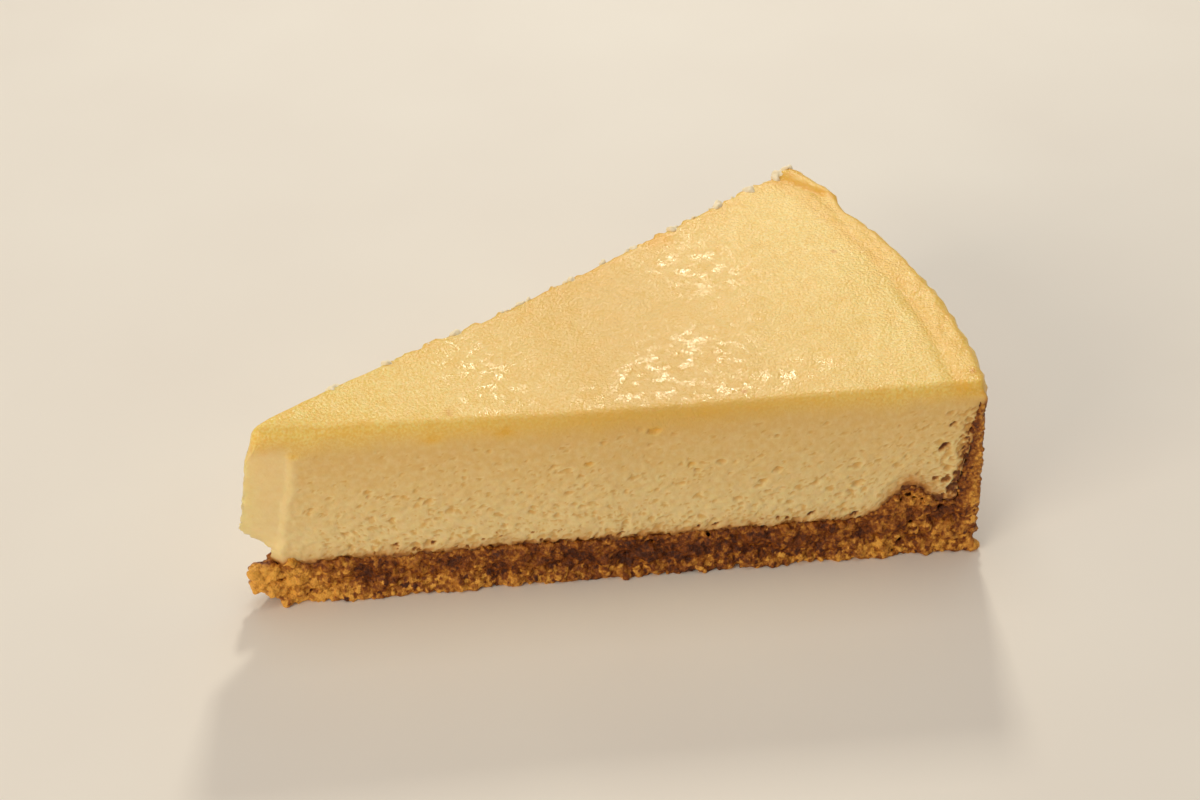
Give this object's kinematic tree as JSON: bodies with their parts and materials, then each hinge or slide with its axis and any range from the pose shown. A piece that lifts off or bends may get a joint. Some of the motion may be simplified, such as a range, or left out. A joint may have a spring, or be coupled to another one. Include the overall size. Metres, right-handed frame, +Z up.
{
  "type": "baked cheesecake slice",
  "caption": "Wedge slice of baked cheesecake: pale set filling with a rounded top edge on a crumb crust that also climbs the rim, its thin point torn.",
  "frame": {"origin": "middle of the slice's bounding box, on the surface it rests on", "axes": "+X from the wedge's point to its rim along the wedge's bisector, +Z up, +Y towards the cut that faces away in the picture"},
  "size_m": [0.1212, 0.0734, 0.035],
  "materials": {
    "filling": "pale baked custard with a satin golden top",
    "crust": "matte, granular brown biscuit crumb"
  },
  "bodies": {
    "root": {"filling": "filling", "crust": "crust"}
  },
  "joints": []
}
